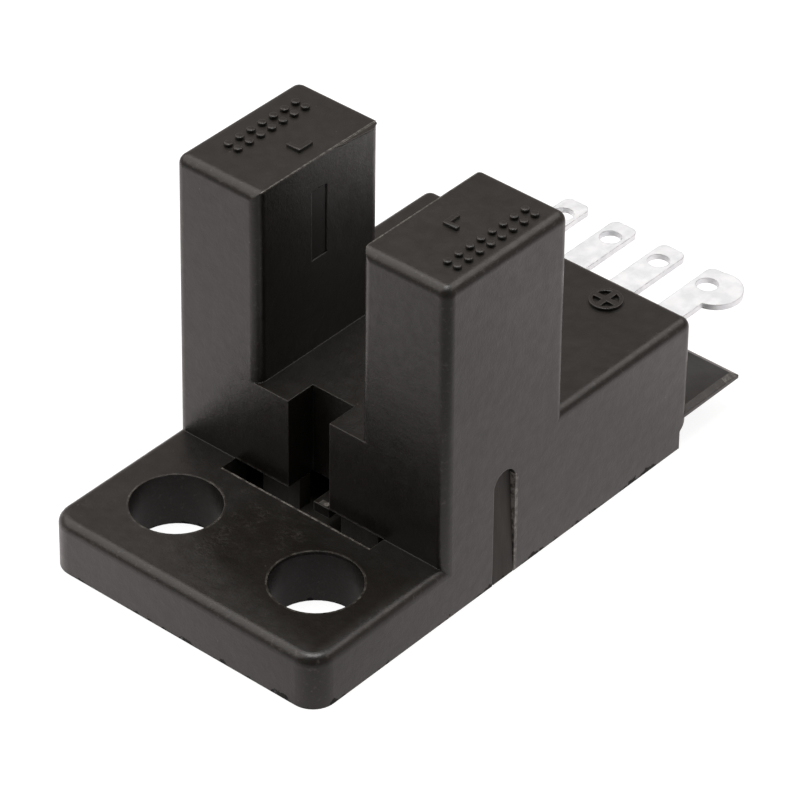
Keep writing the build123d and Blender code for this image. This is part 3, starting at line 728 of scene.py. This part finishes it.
def cast_resin(name, tint, deep, clearness, roughness):
    """Cast epoxy with a slow drift of tint from the mould's flow."""
    material, tree = empty_material(name)
    place = add_node(tree, "ShaderNodeTexCoord", {}, {}).outputs["Object"]
    drift = add_node(tree, "ShaderNodeTexNoise", {}, {
        "Vector": place, "Scale": per_metre(drift_width), "Detail": 2.0})
    shade = add_node(tree, "ShaderNodeMix", {"data_type": "RGBA"}, {
        "Factor": drift.outputs["Fac"], 6: colour(tint), 7: colour(deep)})
    wave = add_node(tree, "ShaderNodeBump", {}, {
        "Height": drift.outputs["Fac"], "Strength": 0.5, "Distance": mm(drift_depth)})
    surface = add_node(tree, "ShaderNodeBsdfPrincipled", {}, {
        "Base Color": shade.outputs[2], "Roughness": roughness, "IOR": 1.54,
        "Transmission Weight": clearness, "Normal": wave.outputs["Normal"]})
    add_node(tree, "ShaderNodeOutputMaterial", {}, {"Surface": surface.outputs["BSDF"]})
    return material


emitter_resin = cast_resin("clear_epoxy_violet_tint", "#c9c4dc", "#aaa3c6", 0.85, 0.08)
receiver_resin = cast_resin("visible_light_stopping_epoxy", "#17101a", "#0f0a12", 0.0, 0.15)
window_resin = cast_resin("infrared_passing_polycarbonate", "#14110e", "#0f0c0b", 0.0, 0.3)
for name, resin in (("infrared_emitter", emitter_resin), ("light_receiver", receiver_resin),
                    ("emitter_window", window_resin), ("receiver_window", window_resin)):
    nodes[name].material_slots[0].material = resin
    print(name, "in", resin.name)

# %% [markdown]
# ## Raised signs on the case
#
# The tool has a few small shapes cut into it, and they come out raised on the case: a plus in a ring
# over the supply terminal, a mark on top of each arm that shows where the beam passes, and two rows of
# round pips on each arm, as mould makers use to count months and cavities. They are thinner than a
# fingernail and only show through the shadow on one side and the light line on the other.
#
# Each is modelled as by hand: a flat shape is extended edge by edge, raised, and its upper edge
# rounded with a Bevel modifier. They could be one displacement map on the case, but then their
# sides would be slopes, and the shadow that makes them readable would be lost.

# %% Tools for small pieces
rounding_steps = 2
rounded_above = math.radians(50)
smooth_below = math.radians(40)


def only(piece):
    """Selects one object and makes it active."""
    bpy.ops.object.select_all(action="DESELECT")
    piece.select_set(True)
    bpy.context.view_layer.objects.active = piece


def pick_edges(piece, wanted):
    """In edit mode, selects just the edges whose middle the test wants."""
    bpy.ops.mesh.select_all(action="DESELECT")
    edit = bmesh.from_edit_mesh(piece.data)
    for edge in edit.edges:
        if wanted((edge.verts[0].co + edge.verts[1].co) / 2):
            edge.select_set(True)
    bmesh.update_edit_mesh(piece.data)


def raise_shape(height):
    """In edit mode, raises the flat shape to a solid, turns its faces outwards and ends edit mode."""
    bpy.ops.mesh.select_all(action="SELECT")
    bpy.ops.mesh.extrude_region_move(TRANSFORM_OT_translate={"value": (0, 0, height)})
    bpy.ops.mesh.select_all(action="SELECT")
    bpy.ops.mesh.normals_make_consistent(inside=False)
    bpy.ops.object.mode_set(mode="OBJECT")


def raised_strokes(foot, stroke_mm, arms, height):
    """A square at the foot with arms out of its sides, raised. Arms are (x, y, length) in mm."""
    bpy.ops.object.select_all(action="DESELECT")
    bpy.ops.mesh.primitive_plane_add(size=mm(stroke_mm), location=foot)
    piece = bpy.context.object
    bpy.ops.object.mode_set(mode="EDIT")
    half = mm(stroke_mm) / 2
    for x, y, length_mm in arms:
        side = Vector((x * half, y * half, 0))
        pick_edges(piece, lambda middle, side=side: (middle - side).length < half / 9)
        bpy.ops.mesh.extrude_edges_move(
            TRANSFORM_OT_translate={"value": (x * mm(length_mm), y * mm(length_mm), 0)})
    raise_shape(height)
    return piece


def round_top(piece, radius_mm):
    """Rounds the sharp edges of a piece with a Bevel modifier, and applies it."""
    only(piece)
    bevel = piece.modifiers.new("rounded", "BEVEL")
    bevel.width = mm(radius_mm)
    bevel.segments = rounding_steps
    bevel.limit_method = "ANGLE"
    bevel.angle_limit = rounded_above
    bpy.ops.object.modifier_apply(modifier=bevel.name)


def settle(piece, name, finish):
    """Puts the piece's place into its mesh, and gives it its name, finish and body."""
    only(piece)
    bpy.ops.object.transform_apply(location=True, rotation=True, scale=True)
    piece.name = name
    piece.data.name = name
    piece.data.materials.clear()
    piece.data.materials.append(finish)
    bpy.ops.object.shade_smooth_by_angle(angle=smooth_below)
    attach(piece, "root")
    low, high = (Vector(corner) for corner in (piece.bound_box[0], piece.bound_box[6]))
    print(name, len(piece.data.polygons), "faces,",
          [round(side * 1000, 2) for side in (high - low)], "mm")


case_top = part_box("case")[1][2]
body_top = mm(6.0)
sign_sink = mm(0.03)
print("arm tops at", round(case_top * 1000, 2), "mm")

# %% The plus in a ring
ring_outer = 0.68
ring_stroke = 0.16
ring_points = 48
plus_stroke = 0.24
plus_arm = ring_outer - ring_stroke / 2 - plus_stroke / 2
sign_height = 0.13
sign_rounding = 0.035
sign_place = (mm(3.49), mm(16.82), body_top - sign_sink)

bpy.ops.object.select_all(action="DESELECT")
bpy.ops.mesh.primitive_circle_add(vertices=ring_points, radius=mm(ring_outer), fill_type="NGON",
                                  location=sign_place)
ring = bpy.context.object
bpy.ops.object.mode_set(mode="EDIT")
bpy.ops.mesh.select_all(action="SELECT")
bpy.ops.mesh.inset(thickness=mm(ring_stroke), depth=0)
bpy.ops.mesh.delete(type="FACE")
raise_shape(mm(sign_height) + sign_sink)

plus = raised_strokes(sign_place, plus_stroke,
                      [(x, y, plus_arm) for x, y in ((1, 0), (-1, 0), (0, 1), (0, -1))],
                      mm(sign_height) + sign_sink)
only(ring)
union = ring.modifiers.new("with_plus", "BOOLEAN")
union.operation = "UNION"
union.solver = "EXACT"
union.object = plus
bpy.ops.object.modifier_apply(modifier=union.name)
only(plus)
bpy.ops.object.delete()
round_top(ring, sign_rounding)
settle(ring, "polarity_sign", case_plastic)

# %% The beam marks on the arms
mark_stroke = 0.21
mark_height = 0.13
mark_along = 6.75
mark_rounding = 0.025


def beam_mark(name, across_mm, arms):
    """A small raised angle on top of an arm, across from the middle by that much."""
    foot = (mm(across_mm), mm(mark_along), case_top - sign_sink)
    mark = raised_strokes(foot, mark_stroke, arms, mm(mark_height) + sign_sink)
    round_top(mark, mark_rounding)
    settle(mark, name, case_plastic)


beam_mark("beam_mark_left", -3.3, ((-1, 0, 0.45), (0, 1, 0.55)))
beam_mark("beam_mark_right", 3.8, ((1, 0, 0.45), (0, 1, 0.55)))

# %% The rows of pips
pip_spacing = 0.62
pip_height = 0.14
pip_rounding = pip_height * 0.4
pip_points = 16


def pip_rows(name, columns, first_row, row_count, pip_mm):
    """Round pips, modelled once and copied to every place of the rows, then joined to one piece."""
    rows = [first_row + pip_spacing * step for step in range(row_count)]
    bpy.ops.object.select_all(action="DESELECT")
    bpy.ops.mesh.primitive_cylinder_add(
        vertices=pip_points, radius=mm(pip_mm / 2), depth=mm(pip_height) + sign_sink,
        end_fill_type="NGON",
        location=(mm(columns[0]), mm(rows[0]), case_top + (mm(pip_height) - sign_sink) / 2))
    first = bpy.context.object
    round_top(first, pip_rounding)
    pips = [first]
    for column in columns:
        for row in rows:
            if (column, row) != (columns[0], rows[0]):
                copied = first.copy()
                copied.data = first.data.copy()
                copied.location.x = mm(column)
                copied.location.y = mm(row)
                bpy.context.scene.collection.objects.link(copied)
                pips.append(copied)
    only(first)
    for pip in pips:
        pip.select_set(True)
    bpy.ops.object.join()
    settle(first, name, case_plastic)


pip_rows("mould_pips_left", (-5.5, -5.02), 5.3, 7, 0.36)
pip_rows("mould_pips_right", (5.38, 5.84), 4.95, 8, 0.34)

# %% [markdown]
# ## A fin of flash
#
# Where two blocks of the tool don't quite close, plastic creeps between them and sets as a thin fin. The
# picture shows one on the left arm, at the back end of the edge over the slot. It is as thin as paper,
# so all that the eye gets is a second line beside the edge.
#
# It starts as a strip of squares. Their outer corners are moved to where the fin ends, and then the
# strip is raised to the thickness of the fin.

# %% Fin of flash on the left arm
slot_wall = -2.5
flash_start = 7.8
flash_step = 0.38
flash_reach = (0.0, 0.13, 0.16, 0.2, 0.25, 0.28, 0.1)
flash_root = 0.06
flash_thickness = 0.05
flash_drop = 0.01
flash_rows = len(flash_reach) - 1

bpy.ops.object.select_all(action="DESELECT")
bpy.ops.mesh.primitive_grid_add(
    x_subdivisions=1, y_subdivisions=flash_rows, size=1,
    location=(mm(slot_wall), mm(flash_start), case_top - mm(flash_thickness + flash_drop)))
flash = bpy.context.object
for vertex in flash.data.vertices:
    row = round((vertex.co.y + 0.5) * flash_rows)
    vertex.co.x = mm(flash_reach[row]) if vertex.co.x > 0 else -mm(flash_root)
    vertex.co.y = mm(row * flash_step)
bpy.ops.object.mode_set(mode="EDIT")
raise_shape(mm(flash_thickness))
settle(flash, "slot_flash", case_plastic)

# %% [markdown]
# ## The studio
#
# The picture shows the case on white paper, and that paper is what the black plastic mirrors: the
# upright faces lean on the reflection of the floor, the tops on the duller air above. Three soft boxes
# draw the light lines along the rounded edges: a wide one at the left, a narrow one behind, and a small
# bright one overhead, which whitens the terminals. The side behind the camera is dim, which is why the
# rounded corners that face the camera are darker than both faces beside them.
#
# So the floor is pale paper, which the camera sees as white and which still keeps the shadow. The sky
# is a plain dim grey that turns white for the camera. A photographed surrounding could light the case
# as well, but each of these lights can be moved and set on its own.

# %% Paper of the floor
object_middle = Vector((0, mm(8), mm(6)))
floor_height = case_box[0].z
floor_middle = (object_middle.x, object_middle.y, floor_height)
floor_radius = 1.5
paper_grey = (0.82, 0.82, 0.82, 1)
paper_seen_grey = (0.26, 0.26, 0.26, 1)
paper_glow = 0.9
white = (1, 1, 1, 1)
floor_points = 96

bpy.ops.object.select_all(action="DESELECT")
bpy.ops.mesh.primitive_circle_add(vertices=floor_points, radius=floor_radius, fill_type="NGON",
                                  location=floor_middle)
floor = bpy.context.object
floor.name = "floor"
bpy.ops.object.transform_apply(location=True, rotation=True, scale=True)

# The camera sees paper that glows, so the shadow on it is faint. Plain paper is what lights the case.
paper, paper_tree = empty_material("white_paper")
ray = add_node(paper_tree, "ShaderNodeLightPath", {}, {})
seen = any_of(paper_tree, ray.outputs["Is Camera Ray"], ray.outputs["Is Transmission Ray"])
faded = add_node(paper_tree, "ShaderNodeMix", {"data_type": "RGBA"}, {
    "Factor": seen, 6: paper_grey, 7: paper_seen_grey})
matte = add_node(paper_tree, "ShaderNodeBsdfDiffuse", {}, {"Color": faded.outputs[2]})
glow = add_node(paper_tree, "ShaderNodeEmission", {}, {
    "Color": white, "Strength": all_of(paper_tree, seen, paper_glow)})
lit = add_node(paper_tree, "ShaderNodeAddShader", {}, {0: matte.outputs[0], 1: glow.outputs[0]})
print("floor at", round(floor_height * 1000, 3), "mm")

# %% [markdown]
# ## What the case mirrors
#
# A black plastic shows little more than its reflections, so the brightness of the mirrored paper shapes
# the picture. It is bright beside the object, dimmer towards the camera and far away, in the shade at
# the object's right, and dark where the object stands on it. Each of these is a smooth change along
# one or two measures, and what they leave of the light is multiplied.

# %% Mirrored paper
mirrored_tint = (1, 0.93, 0.92, 1)
place = add_node(paper_tree, "ShaderNodeTexCoord", {}, {}).outputs["Object"]
shifted = add_node(paper_tree, "ShaderNodeVectorMath", {"operation": "SUBTRACT"}, {
    0: place, 1: floor_middle}).outputs["Vector"]
distance = add_node(paper_tree, "ShaderNodeVectorMath", {"operation": "LENGTH"}, {0: shifted})
forward = add_node(paper_tree, "ShaderNodeVectorMath", {"operation": "DOT_PRODUCT"}, {
    0: shifted, 1: (math.sin(camera_azimuth), -math.cos(camera_azimuth), 0)})
on_floor = add_node(paper_tree, "ShaderNodeSeparateXYZ", {}, {"Vector": shifted})
to_the_side, to_the_back = on_floor.outputs["X"], on_floor.outputs["Y"]
sideways, lengthways = (
    add_node(paper_tree, "ShaderNodeMath", {"operation": "ABSOLUTE"}, {0: coordinate}).outputs[0]
    for coordinate in (to_the_side, to_the_back))

# What each change follows, where it starts and ends in mm, and the levels there. The first two are how
# much light is left, and the others how much shade there is.
changes = [
    (distance.outputs["Value"], 25, 80, 1.0, 0.4),   # further away
    (forward.outputs["Value"], 2, 24, 1.15, 0.5),    # towards the camera
    (to_the_side, 4, 8, 0.0, 0.2),                   # at the object's right,
    (to_the_back, 9, 15, 1.0, 0.0),                  # and not behind it
    (sideways, 5.8, 6.8, 0.72, 0.0),                 # under the object, across
    (lengthways, 10.2, 12, 1.0, 0.0),                # and along
]
away, towards, right_side, not_behind, under_across, under_along = (
    add_node(paper_tree, "ShaderNodeMapRange", {"interpolation_type": "SMOOTHSTEP"}, {
        "Value": value, "From Min": mm(start_mm), "From Max": mm(stop_mm), "To Min": first,
        "To Max": last}).outputs["Result"]
    for value, start_mm, stop_mm, first, last in changes)
levels = [towards, away]
for shade in (all_of(paper_tree, right_side, not_behind), all_of(paper_tree, under_across, under_along)):
    levels.append(add_node(paper_tree, "ShaderNodeMath", {"operation": "SUBTRACT"}, {
        0: 1.0, 1: shade}).outputs[0])
# The paper that the case mirrors is a glow, and the shadow of the object at its right and under it is painted
# shade in the glow's strength
mirror = add_node(paper_tree, "ShaderNodeEmission", {}, {
    "Color": mirrored_tint, "Strength": all_of(paper_tree, *levels)})
both = add_node(paper_tree, "ShaderNodeMixShader", {}, {
    0: ray.outputs["Is Glossy Ray"], 1: lit.outputs[0], 2: mirror.outputs[0]})
add_node(paper_tree, "ShaderNodeOutputMaterial", {}, {"Surface": both.outputs[0]})
floor.data.materials.append(paper)
print("mirrored paper:", len(changes), "changes of level")

# %% Sky
air_far_side = 0.37
air_camera_side = 0.13
dims_from, dimmest_from = 0.2, 0.9
air_tint = (1, 0.9, 0.86, 1)

sky = bpy.data.worlds.new("studio_air")
bpy.context.scene.world = sky
sky.use_nodes = True
sky_tree = sky.node_tree
sky_tree.nodes.clear()
ray = add_node(sky_tree, "ShaderNodeLightPath", {}, {})
# The air dims towards the camera, between two cosines of the angle to it
direction = add_node(sky_tree, "ShaderNodeTexCoord", {}, {})
facing = add_node(sky_tree, "ShaderNodeVectorMath", {"operation": "DOT_PRODUCT"}, {
    0: direction.outputs["Generated"], 1: tuple(towards_camera)})
air = add_node(sky_tree, "ShaderNodeMapRange", {"interpolation_type": "SMOOTHSTEP"}, {
    "Value": facing.outputs["Value"], "From Min": dims_from, "From Max": dimmest_from,
    "To Min": air_far_side, "To Max": air_camera_side})
seen = any_of(sky_tree, ray.outputs["Is Camera Ray"], ray.outputs["Is Transmission Ray"])
level = add_node(sky_tree, "ShaderNodeMix", {"data_type": "FLOAT"}, {
    "Factor": seen, 2: air.outputs["Result"], 3: 1.0})
tint = add_node(sky_tree, "ShaderNodeMix", {"data_type": "RGBA"}, {
    "Factor": seen, 6: air_tint, 7: white})
light = add_node(sky_tree, "ShaderNodeBackground", {}, {
    "Color": tint.outputs[2], "Strength": level.outputs[0]})
add_node(sky_tree, "ShaderNodeOutputWorld", {}, {"Surface": light.outputs[0]})
print("sky:", sky.name)

# %% Soft boxes
box_distance = mm(160)
warm = (1, 0.95, 0.92)
neutral = (1, 1, 1)


def soft_box(name, direction, size_mm, radiance, tint):
    """A rectangular soft light that looks at the middle of the object. Radiance 1 is white."""
    lamp = bpy.data.lights.new(name, "AREA")
    lamp.shape = "RECTANGLE"
    lamp.size = mm(size_mm[0])
    lamp.size_y = mm(size_mm[1])
    lamp.energy = radiance * math.pi * lamp.size * lamp.size_y
    lamp.color = tint
    away = Vector(direction).normalized()
    box = bpy.data.objects.new(name, lamp)
    box.location = object_middle + away * box_distance
    box.rotation_euler = away.to_track_quat("Z", "Y").to_euler()
    bpy.context.scene.collection.objects.link(box)
    return box


soft_boxes = [soft_box("left_soft_box", (-0.58, -0.25, 0.76), (200, 180), 1.35, warm),
              soft_box("back_soft_box", (0.25, 0.61, 0.75), (130, 70), 1.7, warm),
              soft_box("top_soft_box", (0.0, 0.05, 1.0), (80, 80), 6.4, neutral)]
print("soft boxes:", [round(box.data.energy, 4) for box in soft_boxes], "W")
